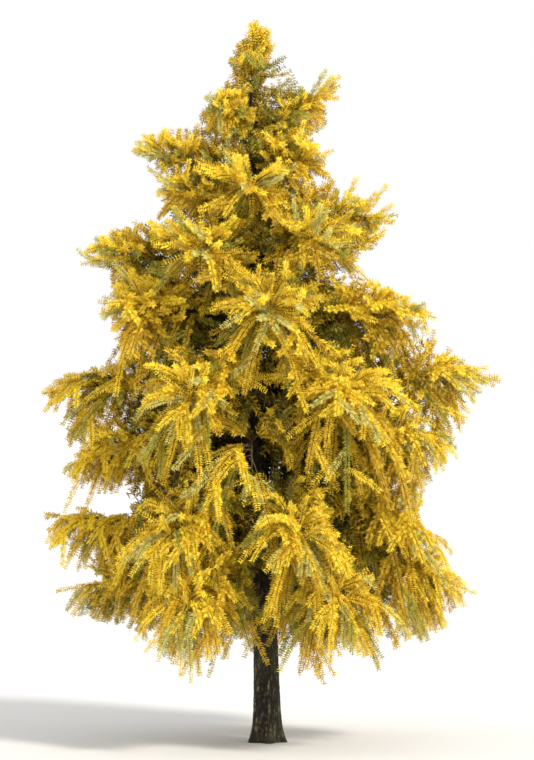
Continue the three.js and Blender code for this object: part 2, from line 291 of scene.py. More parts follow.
limbs = []
for tier in [SimpleNamespace(**dict(zip(TIER_FIELDS, row))) for row in TIERS]:
    for turn, root_z, reach, tip_z, arch in tier.limbs.values():
        sign = 1 if len(limbs) % 2 else -1
        out = np.array([math.cos(math.radians(turn)), math.sin(math.radians(turn)), 0])
        limbs.append(SimpleNamespace(
            tier=tier, number=len(limbs), root_z=root_z, reach=reach, tip_z=tip_z, arch=arch,
            sway=sign * LIMB_SWAY * reach / FULL_REACH, out=out,
            across=np.array([-out[1], out[0], 0]), base=trunk_axis(float(root_z)),
            is_level=tier.name == "skirt" and out[0] < -0.8))
print(len(limbs), "limbs")

# %% [markdown]
# ## Bark in relief
#
# An old larch has thick bark, split along the trunk into scaly plates. Seen from some way off it is the
# relief that tells: light on the plates, dark in the fissures. A displacement in the material would not reach
# the mesh, so the skin is built from rings of points, and each point is moved out by a pattern of cells that
# is stretched along the wood. The height of the pattern is kept on each point, for the colours to follow.

# %% A skin of rings with bark relief
PLATE_WIDTH = 30  # mm across a plate of bark
PLATE_STRETCH = 3.2  # its length over its width
FISSURE_SHARE = 0.5
RIDGE_OVER_PLATE = 2.6  # plates stand in upright ridges that are this much wider
RIDGE_STRETCH = 7
FLAKE_SIZE = 14
WARP_SIZE = 2.2  # the cells' edges wander at this scale, over the cell's width
WARP_SHARE = 0.45
RELIEF_SHARES = (0.4, 0.4, 0.2)  # of ridges, plates and flakes
BARK_SEED = 4  # without a seed the noise vectors would differ from run to run

noise.seed_set(BARK_SEED)


def cells(point, width, stretch):
    """From 0 in the fissures between cells this wide, drawn out along Z, to 1 on the cells."""
    drawn_out = Vector((point[0], point[1], point[2] / stretch))
    warp = noise.noise_vector(drawn_out / (WARP_SIZE * width)) * WARP_SHARE * width
    nearest = noise.voronoi((drawn_out + warp) / width)[0]
    return float(smoothstep(nearest[1] - nearest[0], 0, FISSURE_SHARE))


def bark_height(point, plate):
    """From 0 in a fissure to 1 on a plate, at a point in mm."""
    ridge = cells(point, RIDGE_OVER_PLATE * plate, RIDGE_STRETCH)
    flakes = 0.5 + 0.5 * noise.noise(Vector(point) / FLAKE_SIZE)
    of_ridges, of_plates, of_flakes = RELIEF_SHARES
    return of_ridges * ridge + of_plates * cells(point, plate, PLATE_STRETCH) + of_flakes * flakes


def skin(name, tubes):
    """One mesh of closed tubes. A tube is its rings of points in mm, with a height for each point."""
    points, heights, faces = [], [], []
    for rings, relief in tubes:
        count, sides = relief.shape
        first = len(points)
        points.extend(map(tuple, rings.reshape(-1, 3) * MM))
        heights.extend(relief.ravel())
        for r in range(count - 1):
            for s in range(sides):
                a = first + r * sides + s
                b = first + r * sides + (s + 1) % sides
                faces.append((a, b, b + sides, a + sides))
        last = first + (count - 1) * sides
        faces.append(tuple(first + s for s in reversed(range(sides))))
        faces.append(tuple(last + s for s in range(sides)))
    mesh = bpy.data.meshes.new(name)
    mesh.from_pydata(points, [], faces)
    mesh.attributes.new("relief", "FLOAT", "POINT").data.foreach_set("value", heights)
    mesh.shade_smooth()
    piece = bpy.data.objects.new(name, mesh)
    scene.collection.objects.link(piece)
    print(name, sum(len(face) - 2 for face in faces), "triangles")
    return piece


# %% The trunk's skin
TRUNK_SIDES = 132
FINE_STEP = 11  # mm between rings where the trunk stands bare
COARSE_STEP = 48
BARE_HEIGHT = 2600
BARK_DEPTH = 15
BARK_LEVEL = 0.72  # relief at which the skin lies on the trunk's plain surface
THIN_BARK = 0.2  # the least depth of the relief, over the most

low_heights = np.arange(0, BARE_HEIGHT, FINE_STEP)
high_heights = np.arange(BARE_HEIGHT, TRUNK_TOP, COARSE_STEP)
heights_mm = np.concatenate([low_heights, high_heights, [TRUNK_TOP]]).astype(float)
turns = np.arange(TRUNK_SIDES) / TRUNK_SIDES * 2 * math.pi
round_trunk = np.stack([np.cos(turns), np.sin(turns), 0 * turns], axis=-1)
lobes = LOBE_DEPTH * np.exp(-heights_mm / FLARE_HEIGHT)[:, None] * np.cos(FLARE_LOBES * turns + 1)
radii = trunk_radius(heights_mm)[:, None] * (1 + lobes)
smooth_rings = trunk_axis(heights_mm)[:, None, :] + radii[..., None] * round_trunk
plates = PLATE_WIDTH * np.clip(radii.mean(1) / FOOT_RADIUS, 0.5, 1)
relief = np.array([[bark_height(point, plate) for point in ring]
                   for ring, plate in zip(smooth_rings, plates)])
depth = BARK_DEPTH * np.clip(radii / FOOT_RADIUS, THIN_BARK, 1)
rings = smooth_rings + (depth * (relief - BARK_LEVEL))[..., None] * round_trunk
trunk = skin("trunk_bark", [(rings, relief)])

# %% [markdown]
# ## Boughs
#
# Each limb is one tapering tube from inside the trunk to its tip, with a collar where it leaves the trunk.
# Its rings stand square to its line. The bark on it is finer than the trunk's, so the cells are smaller.

# %% Boughs
LIMB_SIDES = 12
LIMB_STEP = 55  # mm between rings
COLLAR_SWELL = 0.55
COLLAR_LENGTH = 130
LIMB_PLATE = 20
LIMB_BARK_DEPTH = 4
LIMB_SHARES = (0.004, 0.86)  # a limb goes on from there as the twig of its tip

limb_turns = np.arange(LIMB_SIDES) / LIMB_SIDES * 2 * math.pi
tubes = []
for limb in limbs:
    rings, relief = [], []
    for share in np.linspace(*LIMB_SHARES, max(8, int(limb.reach / LIMB_STEP))):
        centre = limb_at(limb, share)
        forward = limb_direction(limb, share)
        up = unit(np.cross(forward, limb.across))
        side = np.cross(up, forward)
        around = np.outer(np.cos(limb_turns), side) + np.outer(np.sin(limb_turns), up)
        radius = limb_radius(limb, share)
        radius *= 1 + COLLAR_SWELL * math.exp(-share * limb.reach / COLLAR_LENGTH)
        ring = centre + radius * around
        ring_relief = np.array([bark_height(point, LIMB_PLATE) for point in ring])
        lift = LIMB_BARK_DEPTH * min(1, radius / LIMB_RADIUS) * (ring_relief - 0.5)
        rings.append(ring + lift[:, None] * around)
        relief.append(ring_relief)
    tubes.append((np.array(rings), np.array(relief)))
boughs = skin("boughs", tubes)

# %% [markdown]
# ## Where laterals grow
#
# A limb bears laterals to its left and right by turns, and every second pair hangs below it. Each mass of
# foliage keeps to the space round its own limb, so a lateral that would leave that space is drawn in, or
# left out. The same numbers are thrown as for the solids, from the number of the limb and of the lateral, so
# each lateral lies in its solid. To fill the crown, more sets grow in between the first: some of them stand
# up from the limb and some hang below it.

# %% The space of each limb
CENTRE_STEPS = 8
BARE_STEPS = 4
SPACE_GAP = 46
OVERLAP = 900  # how far the later laterals may reach into the space of the next tier
LIMB_CLEARANCE = 40
FULLEST = 0.55
ROOT_FULLNESS = 0.35
TIP_FULLNESS = 0.5


def fullness(share):
    """How long laterals are along a limb, over the longest."""
    inner = min(1, share / FULLEST)
    outer = max(0, (share - FULLEST) / (1 - FULLEST))
    return lerp(ROOT_FULLNESS, 1, inner) * lerp(1, TIP_FULLNESS, outer * outer)


def segments(lines):
    """The starts and spans of the segments of several lines of points."""
    lines = np.array(lines)
    return lines[:, :-1].reshape(-1, 3), np.diff(lines, axis=1).reshape(-1, 3)


def distances(points, starts, spans):
    """How far each point lies from each segment."""
    offset = points[:, None] - starts
    share = np.clip((offset * spans).sum(-1) / (spans ** 2).sum(-1), 0, 1)
    return np.linalg.norm(offset - share[..., None] * spans, axis=-1)


def centre_point(limb, share):
    return limb_at(limb, share) - np.array([0, 0, limb.tier.drop * fullness(share)])


centre_segments = segments([
    [centre_point(limb, share) for share in np.linspace(limb.tier.bare, 1, CENTRE_STEPS + 1)]
    for limb in limbs])
bare_segments = segments([
    [limb_at(limb, share) for share in np.linspace(0, limb.tier.bare, BARE_STEPS + 1)]
    for limb in limbs])


def in_own_space(points, limb, gap):
    """Whether all points lie nearest to this limb's middle line, by the gap, and off the wood."""
    z = points[:, 2]
    from_trunk = np.linalg.norm((points - trunk_axis(z))[:, :2], axis=1)
    if np.any((z < TRUNK_TOP) & (from_trunk < trunk_radius(np.minimum(z, TRUNK_TOP)) + LIMB_CLEARANCE)):
        return False
    near = distances(points, *centre_segments).reshape(len(points), len(limbs), CENTRE_STEPS).min(2)
    wood = distances(points, *bare_segments).reshape(len(points), len(limbs), BARE_STEPS).min(2)
    others = np.arange(len(limbs)) != limb.number
    own = near[:, [limb.number]]
    return bool(np.all(near[:, others] >= own + gap)
                and np.all(wood[:, others] > LIMB_RADIUS + LIMB_CLEARANCE))


# %% [markdown]
# ## The crown's outline
#
# From the front the crown steps in and out: each storey has its own reach to the left and right, with
# notches of sky in between. Sculpting that by hand would not reach every twig. A short table of how far the
# crown reaches at some heights does: each twig that would cross it is tried shorter, or left out. Twigs also
# keep out of three gaps through which the sky shows, and away from the few places where dark wood is seen.

# %% The crown's outline from the front
LEFT_EDGE = [  # heights and x in mm where the storeys reach furthest and where the notches are
    (1150, -1250), (1600, -1700), (1850, -2300), (2100, -3400), (2400, -3450), (2650, -2850), (2900, -3400),
    (3400, -3750), (3700, -3700), (4000, -2950), (4500, -3300), (5300, -3550), (5850, -3750), (6100, -3450),
    (6350, -2400), (7400, -2700), (7700, -2600), (8200, -3100), (8500, -2750), (8800, -1800), (9300, -1650),
    (9850, -2150), (10100, -2050), (10350, -1200), (10900, -750), (11400, -650), (12050, -250),
]
RIGHT_EDGE = [
    (1150, 900), (1250, 1000), (1300, 1900), (1550, 1950), (1850, 2900), (2650, 3400), (2900, 2900),
    (3200, 2950), (3700, 2500), (4500, 2750), (5050, 3350), (5550, 3350), (6100, 3850), (6350, 3300),
    (6900, 2800), (7200, 2700), (7450, 2200), (7950, 1450), (8500, 1900), (8800, 1950), (9300, 1150),
    (10100, 750), (10350, 1050), (10650, 1000), (10900, 600), (11450, 250), (12050, 0),
]
SKY_GAPS = [  # left, right, low and high in mm
    (-2850, -2250, 3760, 4120), (-3500, -2750, 2620, 2760), (1080, 1650, 1100, 1600),
]
WOOD_GAPS = [
    (-900, -180, 5000, 5130), (-340, -60, 4560, 5100), (-190, 70, 2600, 2930), (-340, -140, 10540, 10800),
    (-280, -80, 9380, 9540),
]
WOOD_DEPTH = -120
EDGE_MARGIN = 30


def crosses(gaps, points, deepest=math.inf):
    """Whether a line of points, seen from the front, passes through a gap, and nearer than a depth."""
    steps = np.linspace(0, len(points) - 1, 13)
    x, y, z = (np.interp(steps, range(len(points)), axis) for axis in np.array(points).T)
    return any(((y < deepest) & (x > left) & (x < right) & (z > low) & (z < high)).any()
               for left, right, low, high in gaps)


def hides_wood(points):
    return crosses(WOOD_GAPS, points, WOOD_DEPTH)


def may_grow(points, margin):
    """Whether a line keeps inside the outline by this margin, out of the sky and off the wood that shows."""
    x, _, z = np.array(points).T
    inside = (x > np.interp(z, *zip(*LEFT_EDGE)) + margin) & (x < np.interp(z, *zip(*RIGHT_EDGE)) - margin)
    return bool(inside.all()) and not crosses(SKY_GAPS, points) and not hides_wood(points)


# %% Lines of the laterals
TRIES = [(1, 1), (0.92, 0.7), (0.8, 0.5), (0.66, 0.5), (0.5, 0.6), (0.36, 0.7)]
FIRST_LATERAL = 0.12
LAST_LATERAL = 0.78
LEADER_TAPER = 0.45
LENGTH_SPREAD = 0.18
LATERAL_ANGLES = (78, 40)  # degrees from the limb, from its root to its tip
ANGLE_SPREAD = 16
RISE_SPREAD = 0.16
UNDER_FALL = 0.9
SPIRAL = 137.5
BLADE_WIDTH = 270
BLADE_LENGTH = 1000
BLADE_RINGS = [(0.31, 1, 0.06), (0.5, 0.43, 0), (0.81, 0.78, 0.06)]  # place, width and sweep of its teeth
INNER_LATERAL = 0.06
LOW_ON_LEADER = -0.5
FILLING_LENGTHS = (1.1, 0.8)  # from a limb's root to its tip, over the first set's
FILLING_LEAST = 0.55
LEADER_FILLING = (2, 0.6)
STANDING_LIFTS = (1.2, 0.2)
STANDING_HANG = 0.35  # filling laterals that rise hang this much as far
RIM_SHARE = 0.36  # share of a limb from which its shoots are fingers
OPEN_SHARE = 0.5  # share of a short limb from which no laterals fill it
SHORT_REACH = 2300  # mm
LEADER_OPEN = 0.45  # share of the leader from which only the first set of laterals grows
LEVEL_LIFT = -0.6  # rise of the filling laterals of a level limb
LATERAL_SETS = [  # place between two laterals, length over the first set's, extra rise, whether it fills
    (0.5, 1, 0, False),
    (1.0, 0.86, 0, False),
    (0.25, 0.8, 1.0, True),
    (0.75, 1.1, -0.8, True),
    (0.95, 0.75, 1.8, True),
    (0.4, 0.7, 0.5, True),
    (0.6, 0.85, -1.6, True),
]


def dice(limb_number, number):
    """Repeatable numbers from 0 to 1 for one lateral."""
    modulus = 2147483647
    state = (limb_number * 7919 + number * 104729 + 12345) % modulus

    def roll():
        nonlocal state
        state = state * 48271 % modulus
        return state / modulus
    roll()
    roll()
    return roll


def turned(vector, axis, angle):
    """The vector turned round a unit axis at right angles to it."""
    return vector * math.cos(angle) + np.cross(axis, vector) * math.sin(angle)


def grow(limb, start, forward, outward, length, hang, gap):
    """A lateral's line as a namespace with its path, flat side and length, or None where it has no room."""
    for length_share, spread in TRIES:
        direction = unit(forward + outward * spread)
        flat = unit(np.array([direction[1], -direction[0], 0]))
        reach = length * length_share

        def path(share, direction=direction, reach=reach):
            return start + direction * reach * share - np.array([0, 0, hang * reach * share * share])
        rim = [path(1), path(0.6)]
        for place, width, sweep in BLADE_RINGS if gap > 0 else []:
            tangent = unit(path(place + 0.01) - path(place - 0.01))
            half_width = BLADE_WIDTH * math.sqrt(reach / BLADE_LENGTH) * width
            rim += [path(place) + tangent * sweep * reach + flat * half_width * sign for sign in (-1, 1)]
        line = [path(step) for step in np.linspace(0.2, 1, 4)]
        if in_own_space(np.array(rim), limb, gap) and may_grow(line, EDGE_MARGIN):
            return SimpleNamespace(path=path, flat=flat, length=reach)
    return None


def lateral(limb, number):
    tier = limb.tier
    is_leader = tier.name == "leader"
    roll = dice(limb.number, number)
    offset, length_share, lift, fills = LATERAL_SETS[number // tier.laterals]
    place = (number % tier.laterals + offset) / tier.laterals
    first_share = tier.bare + FIRST_LATERAL
    if fills:
        first_share = LOW_ON_LEADER if is_leader else INNER_LATERAL
    share = lerp(first_share, LAST_LATERAL, place)
    if is_leader and number >= tier.laterals and share > LEADER_OPEN:
        return None
    if not is_leader and fills and share > OPEN_SHARE and limb.reach < SHORT_REACH:
        return None
    hang = tier.hang
    if fills and not is_leader:
        length_share *= lerp(*FILLING_LENGTHS, share)
        if lift > 0:
            lift *= lerp(*STANDING_LIFTS, share)
            hang *= STANDING_HANG
        elif limb.is_level:
            lift = LEVEL_LIFT
    angle = math.radians(lerp(*LATERAL_ANGLES, place) + ANGLE_SPREAD * (roll() - 0.5))
    forward = limb_direction(limb, share)
    outward = limb.across * (1 if (number + limb.number) % 2 else -1)
    if is_leader:
        outward = turned(outward, forward, math.radians(number * SPIRAL))
    is_under = not is_leader and number // 2 % 2 == 1
    rise = tier.rise - (UNDER_FALL if is_under else 0) + RISE_SPREAD * (roll() - 0.5) + lift
    forward = forward * math.cos(angle) + np.array([0, 0, rise])
    if is_leader:
        longest = lerp(*LEADER_FILLING, place) if fills else lerp(1, LEADER_TAPER, place)
    else:
        longest = max(fullness(share), FILLING_LEAST) if fills else fullness(share)
    length = tier.lateral * longest * (1 + LENGTH_SPREAD * (2 * roll() - 1)) * length_share
    line = grow(limb, limb_at(limb, share), forward, outward * math.sin(angle), length, hang,
                -OVERLAP if fills else SPACE_GAP)
    if line:
        line.share, line.is_under = share, is_under or lift < 0
    return line


laterals = [(limb, lateral(limb, number)) for limb in limbs
             for number in range(len(LATERAL_SETS) * limb.tier.laterals)]
laterals = [(limb, line) for limb, line in laterals if line]
print(len(laterals), "laterals,", round(sum(line.length for _, line in laterals) * MM), "m in all")

# %% [markdown]
# ## Shoots
#
# A larch's needles stand round its shoots in rosettes, so that each shoot looks like a bottle brush. A
# lateral ends in one such brush, and shorter ones leave it left and right, as the barbs leave a feather.
# Towards the tip of a limb they are fewer and thicker, and stand apart like fingers. Low in the crown they
# hang, and high up their tips turn to the light. The tints are dealt out by shoot and paint light and shade
# into the needles: bright as painted light at the rim of the crown and on top, dull as painted shade within
# and below, straw here and there at the tips, with chance in between.

# %% Tints of the needles
# From bright to dull: a shoot's tint is picked by its light, so these paint light and shade, with chance
# between
TINTS = [
    ("bright_gold", "f6da3a"),
    ("gold", "ecca32"),
    ("deep_gold", "d0ae2a"),
    ("yellow_green", "a6a238"),
    ("olive_gold", "706616"),
]
TIP_TINT = ("straw", "ccc46a")
# Dull tints for sprays within the crown: painted shade
INNER_SHADE_TINTS = [
    ("inner_gold", "bea01e"),
    ("inner_olive", "6c6416"),
    ("shade_olive", "48440f"),
]
TINT_SPREAD = 0.17

# %% Painted light of the needles' tints along a limb, from 0 to 1
LIGHT_AT_ROOT = 0.22
LIGHT_TO_TIP = 0.5
LIGHT_BELOW = -0.06
LIGHT_ABOVE = 0.27
# The inner tints are darker as painted shade, so within the crown the light counts higher
LIGHT_WITHIN = 0.2  # added within the crown, where the tints are darker in themselves
LIGHT_HIGH_UP = 0.06
LIGHT_ALONG = 0.1  # added along a lateral
TIP_LIGHT = 0.8
FAN_LIGHT = 0.85
FRINGE_LIGHT = 0.6
LIT_LIGHT = 0.68  # of the inner sprays that light reaches
LIT_HIGH_UP = 0.52
INNER_LIGHTS = (0.2, 1.2)

# %% Lines of the shoots
SHOOT_SPACING = 250  # mm of lateral for each side shoot
SHOOT_SHARES = (0.14, 0.88)  # of the lateral
SHOOT_REACHES = (0.6, 0.4)  # over the lateral's length, from its root to its tip
BRUSH_SHARES = (0.22, 0.97)  # where a lateral bears its own brush
LINE_STEPS = 3
FINGER_SPACING = 1.8  # over the spacing of the other shoots
FINGER_GIRTH = 1.18
SHOOT_TRIES = [1, 0.8, 0.62, 0.46]
SHOOT_ANGLES = (56, 36)  # degrees from the lateral, from its root to its tip
SHOOT_ANGLE_SPREAD = 8
SHOOT_RISES = (-0.35, 0.45)
SHOOT_LENGTHS = (0.82, 1.12)
HANG_SPREAD = 0.12
LATERAL_RADII = (11, 3)
SHOOT_RADIUS = 4
TIP_TWIG = 8
STRAW_CHANCE = 0.4
STRAW_RISE = 4  # how fast straw grows likelier towards the tips
TIP_SHARE = 0.62  # share of a limb from which its shoots may be straw at the tips
SHOOT_HANG = dict(skirt=0.75, lower=0.5, hanging=0.6, middle=0.22, upper=-0.05, high=-0.25, crown=-0.25,
                  top=-0.3, spire=-0.05, leader=-0.3)
LEVEL_HANG = 0.35
INNER_SPACING = 1.5  # over the spacing of the other shoots
LEADER_SHOOTS = 0.85
HIGH_UP = 8500  # from here the crown is slim and light inside
INNER_DEPTH = 1800  # mm from a limb's tip, beyond which its sprays count as inner ones
box_low, box_high = (np.array(corner) / MM for corner in cad_box)
box_low[2] = 1200

chance = random.Random(20)
brushes = {name: [] for name, _ in TINTS + [TIP_TINT] + INNER_SHADE_TINTS}
fingers = {name: [] for name, _ in TINTS + [TIP_TINT]}
twigs = []


def shoot_girth(share):
    """How far the needles reach out along a shoot, over the most: a little less near both ends."""
    return lerp(0.8, 1, np.minimum(1, share / 0.3)) * lerp(1, 0.74, np.maximum(0, (share - 0.6) / 0.4))


def deal_tint(light, tints=TINTS):
    """A tint for a shoot that is lit this much, from 0 to 1, with some chance: light and shade painted into
    its colour.
    """
    place = 1 - light + chance.gauss(0, TINT_SPREAD)
    return tints[int(np.clip(place, 0, 0.999) * len(tints))][0]


def deal_tip_tint(straw_chance, light, tints=TINTS):
    """Straw with this chance, or else a tint for this light."""
    return TIP_TINT[0] if chance.random() < straw_chance else deal_tint(light, tints)


def clothe(points, tint, is_finger=False):
    """Adds a brush of needles along these points, a thicker one for a finger at the crown's rim."""
    girths = shoot_girth(np.linspace(0, 1, len(points))) * (FINGER_GIRTH if is_finger else 1)
    (fingers if is_finger else brushes)[tint].append((points, girths))


def plant(points, tint, radius, is_finger=False):
    """Adds one shoot along these points: its brush of needles and its twig."""
    clothe(points, tint, is_finger)
    twigs.append(([points[0], points[len(points) // 2], points[-1]], [radius, 0.7 * radius, 0.4 * radius]))


def shoot_hang(limb):
    return LEVEL_HANG if limb.is_level else SHOOT_HANG[limb.tier.name]


def shoot_line(start, direction, length, hang, margin=EDGE_MARGIN):
    """Points of one shoot, drawn in to keep to the crown's outline, or None where there is no room."""
    for length_share in SHOOT_TRIES:
        reach = length * length_share
        points = [start + direction * reach * share - np.array([0, 0, hang * reach * share ** 2])
                  for share in np.linspace(0, 1, LINE_STEPS + 1)]
        is_in_box = np.all(points[-1] > box_low) and np.all(points[-1] < box_high)
        if is_in_box and may_grow(points, margin):
            return points
    return None


for limb, line in laterals:
    tier = limb.tier
    is_inner = (1 - line.share) * limb.reach > INNER_DEPTH and tier.name != "skirt"
    tints = INNER_SHADE_TINTS if is_inner else TINTS
    # Painted light and shade: the tint is brighter out along the limb and on top, duller below
    light = LIGHT_AT_ROOT + LIGHT_TO_TIP * line.share + (LIGHT_BELOW if line.is_under else LIGHT_ABOVE)
    light += (LIGHT_WITHIN if is_inner else 0) + (LIGHT_HIGH_UP if limb.root_z > HIGH_UP else 0)
    steps = np.linspace(0, 1, 5)
    twigs.append(([line.path(share) for share in steps], lerp(*LATERAL_RADII, steps)))
    tip_line = [line.path(share) for share in np.linspace(*BRUSH_SHARES, 7)]
    is_finger = line.share > RIM_SHARE and not is_inner
    clothe(tip_line, deal_tint(light + LIGHT_ALONG, tints), is_finger)
    spacing = SHOOT_SPACING * (INNER_SPACING if is_inner else FINGER_SPACING if is_finger else 1)
    count = max(0 if is_finger else 2, round(line.length / spacing))
    for k in range(count):
        place = lerp(*SHOOT_SHARES, (k + chance.uniform(0.3, 0.7)) / count)
        forward = unit(line.path(place + 0.01) - line.path(place - 0.01))
        spread = chance.uniform(-SHOOT_ANGLE_SPREAD, SHOOT_ANGLE_SPREAD)
        angle = math.radians(lerp(*SHOOT_ANGLES, place) + spread)
        outward = line.flat * (1 if k % 2 else -1) + np.array([0, 0, chance.uniform(*SHOOT_RISES)])
        direction = unit(forward * math.cos(angle) + outward * math.sin(angle))
        length = line.length * lerp(*SHOOT_REACHES, place) * chance.uniform(*SHOOT_LENGTHS)
        if tier.name == "leader":
            length *= LEADER_SHOOTS
        hang = shoot_hang(limb) + chance.uniform(-HANG_SPREAD, HANG_SPREAD)
        shoot = shoot_line(line.path(place), direction, length, hang)
        if shoot:
            straw_chance = STRAW_CHANCE * (line.share - TIP_SHARE) * STRAW_RISE
            tint = deal_tip_tint(straw_chance, light + LIGHT_ALONG * place, tints)
            plant(shoot, tint, SHOOT_RADIUS, is_finger)

# %% [markdown]
# ## The ends of the limbs
#
# At its end a limb spreads its last shoots like the fingers of a hand, and these make the crown's jagged rim.
# Under the long boughs more of them hang down as a fringe. Both are laid out by listed ranges rather
# than by the rule of the laterals, because they depend on the limb's end alone.

# %% Shoots that fan out at the tip of each limb
FAN_COUNTS = (6, 9)  # on the shortest and the longest limbs
FAN_SHARES = (0.64, 0.94)  # of the limb
FAN_LENGTHS = (260, 780)  # the least and the most
FAN_ANGLES = (48, 20)
FAN_LIFTS = (0.5, -0.2, 0.2, -0.5)
FAN_LIFT_SPREAD = 0.1
FAN_HANG = 0.4
FAN_PAST_TIP = 0.07
FAN_MARGIN = -100  # mm that a fan may stand out from the outline
LEVEL_FALL = 0.4

for limb in limbs:
    tip_line = [limb_at(limb, share) for share in np.linspace(0.5, 1, 9)]
    if not hides_wood(tip_line):
        plant(tip_line, deal_tint(TIP_LIGHT), TIP_TWIG, limb.tier.name != "leader")
    hang = shoot_hang(limb)
    margin = -math.inf if limb.root_z > HIGH_UP and limb.out[0] > 0.5 else FAN_MARGIN
    count = round(lerp(*FAN_COUNTS, min(1, limb.reach / FULL_REACH)))
    for k in range(count):
        share = lerp(*FAN_SHARES, k / (count - 1))
        angle = math.radians(lerp(*FAN_ANGLES, k / (count - 1)) * (1 if k % 2 else -1))
        lift = FAN_LIFTS[k % len(FAN_LIFTS)] + chance.uniform(-FAN_LIFT_SPREAD, FAN_LIFT_SPREAD)
        lift = lift - FAN_HANG * hang - (LEVEL_FALL if limb.is_level else 0)
        outward = limb.across * math.sin(angle) + np.array([0, 0, lift])
        direction = unit(limb_direction(limb, share) * math.cos(angle) + outward)
        length = np.clip((1 + FAN_PAST_TIP - share) * limb.reach / math.cos(angle), *FAN_LENGTHS)
        shoot = shoot_line(limb_at(limb, share), direction, length, hang, margin)
        if shoot:
            plant(shoot, deal_tip_tint(STRAW_CHANCE, FAN_LIGHT), SHOOT_RADIUS, True)

# %% Fringe of shoots that hang from the long boughs
FRINGE_SHOOTS = 10  # on each limb
FRINGE_SHARES = (0.55, 0.98)
FRINGE_LENGTH = 520
FRINGE_LENGTHS = (0.7, 1.1)
FRINGE_OUT = (0.2, 0.7)  # how far it leans out and on, over its fall
FRINGE_ON = (0.2, 0.6)
FRINGE_CURVE = 0.1
FRINGE_HANG = -0.1  # limbs whose shoots hang at least this much have a fringe

for limb in limbs:
    for k in range(FRINGE_SHOOTS if shoot_hang(limb) >= FRINGE_HANG else 0):
        share = lerp(*FRINGE_SHARES, (k + chance.random()) / FRINGE_SHOOTS)
        outward = limb.across * chance.uniform(*FRINGE_OUT) * (1 if k % 2 else -1)
        direction = unit(limb_direction(limb, share) * chance.uniform(*FRINGE_ON) + outward + [0, 0, -1])
        length = FRINGE_LENGTH * chance.uniform(*FRINGE_LENGTHS)
        shoot = shoot_line(limb_at(limb, share), direction, length, FRINGE_CURVE)
        if shoot:
            plant(shoot, deal_tip_tint(STRAW_CHANCE / 2, FRINGE_LIGHT), SHOOT_RADIUS, True)
print(len(twigs), "twigs")

# %% [markdown]
# ## Inner sprays
#
# Inside the crown there is little light: the needles there are sparse, and their dull olive tints are painted
# shade, but together they shut out the sky. They hardly show, so their needles are fewer and broader. Far
# out on a limb and high in the crown, where light gets in, these sprays are as fine as the rest and as
# bright, as painted light.

# %% Lines of the inner sprays
LIT_SHARE = 0.6  # from here on they are lit as the others are
INNER_MARGIN = 200
INNER_SPRAYS = 60  # on each limb
INNER_SHARES = (0.06, 0.84)
INNER_LENGTH = 860
INNER_LENGTHS = (0.75, 1.1)
INNER_SHORTEST = 0.5  # on the shortest limbs, over the length on the longest
INNER_SPREAD = 0.6
INNER_ON = (0.1, 0.5)
INNER_RADIUS = 6

for limb in limbs:
    if limb.tier.name == "leader":
        continue
    scale = lerp(INNER_SHORTEST, 1, min(1, limb.reach / FULL_REACH))
    for k in range(INNER_SPRAYS):
        share = lerp(*INNER_SHARES, (k + chance.random()) / INNER_SPRAYS)
        forward = limb_direction(limb, share)
        turn = k * math.radians(SPIRAL)
        around = INNER_SPREAD * limb.across * math.cos(turn)
        around = around + np.cross(forward, limb.across) * math.sin(turn)
        if limb.tier.name == "skirt":
            around[2] = abs(around[2])
        direction = unit(forward * chance.uniform(*INNER_ON) + around)
        length = INNER_LENGTH * scale * lerp(*FILLING_LENGTHS, share) * chance.uniform(*INNER_LENGTHS)
        is_lit = limb.root_z > HIGH_UP or share > LIT_SHARE
        margin = EDGE_MARGIN if is_lit else INNER_MARGIN
        shoot = shoot_line(limb_at(limb, share), direction, length, 0, margin)
        if shoot:
            # Sprays that light reaches take the bright tints as painted light, the rest the dull inner tints
            # as painted shade
            lit_tint = deal_tint(LIT_HIGH_UP if limb.root_z > HIGH_UP else LIT_LIGHT)
            tint = lit_tint if is_lit else deal_tint(lerp(*INNER_LIGHTS, share), INNER_SHADE_TINTS)
            plant(shoot, tint, INNER_RADIUS)

# %% [markdown]
# ## One rosette of needles
#
# A needle is a narrow kite with a fold along its middle, two triangles in all, so that one face or the other
# catches the light from any side. Five of them lean out round the shoot, each turned a little on itself. A
# real larch needle is 3 to 6 cm long and 2 to 4 mm wide. Here it is longer and several times as broad,
# because the count of needles on a whole tree is millions, and fewer have to fill the same brush.

# %% A rosette of needles
NEEDLES_PER_ROSETTE = 5
LEAN_SPREAD = 6
NEEDLE_TWISTS = (-35, 45)
LENGTH_STEP = 0.07  # each needle of three is shorter than the last by this share
WIDEST_AT = 0.42
FOLD_DEPTH = 0.25  # over the needle's width
ROOT_RADIUS = 2


def rosette(name, length, width, lean):
    """A rosette round the Z axis as an object: needles of this length and width in mm, leaning out."""
    points, faces = [], []
    for k in range(NEEDLES_PER_ROSETTE):
        turn = 2 * math.pi * k / NEEDLES_PER_ROSETTE
        out = Vector((math.cos(turn), math.sin(turn), 0))
        tilt = math.radians(lean + (LEAN_SPREAD if k % 2 else -LEAN_SPREAD))
        forward = out * math.sin(tilt) + Vector((0, 0, math.cos(tilt)))
        across = out.cross(Vector((0, 0, 1)))
        twist = math.radians(NEEDLE_TWISTS[k % 2])
        flat = across * math.cos(twist) + across.cross(forward) * math.sin(twist)
        fold = flat.cross(forward)
        own = length * (1 - LENGTH_STEP * (k % 3))
        middle = forward * WIDEST_AT * own - fold * FOLD_DEPTH * width
        first = len(points)
        points += [out * ROOT_RADIUS, middle + flat * width / 2, forward * own, middle - flat * width / 2]
        faces += [(first, first + 1, first + 2), (first, first + 2, first + 3)]
    mesh = bpy.data.meshes.new(name)
    mesh.from_pydata([point * MM for point in points], [], faces)
    return bpy.data.objects.new(name, mesh)


fine_rosette = rosette("fine_rosette", length=80, width=26, lean=65)
broad_rosette = rosette("broad_rosette", length=130, width=36, lean=64)

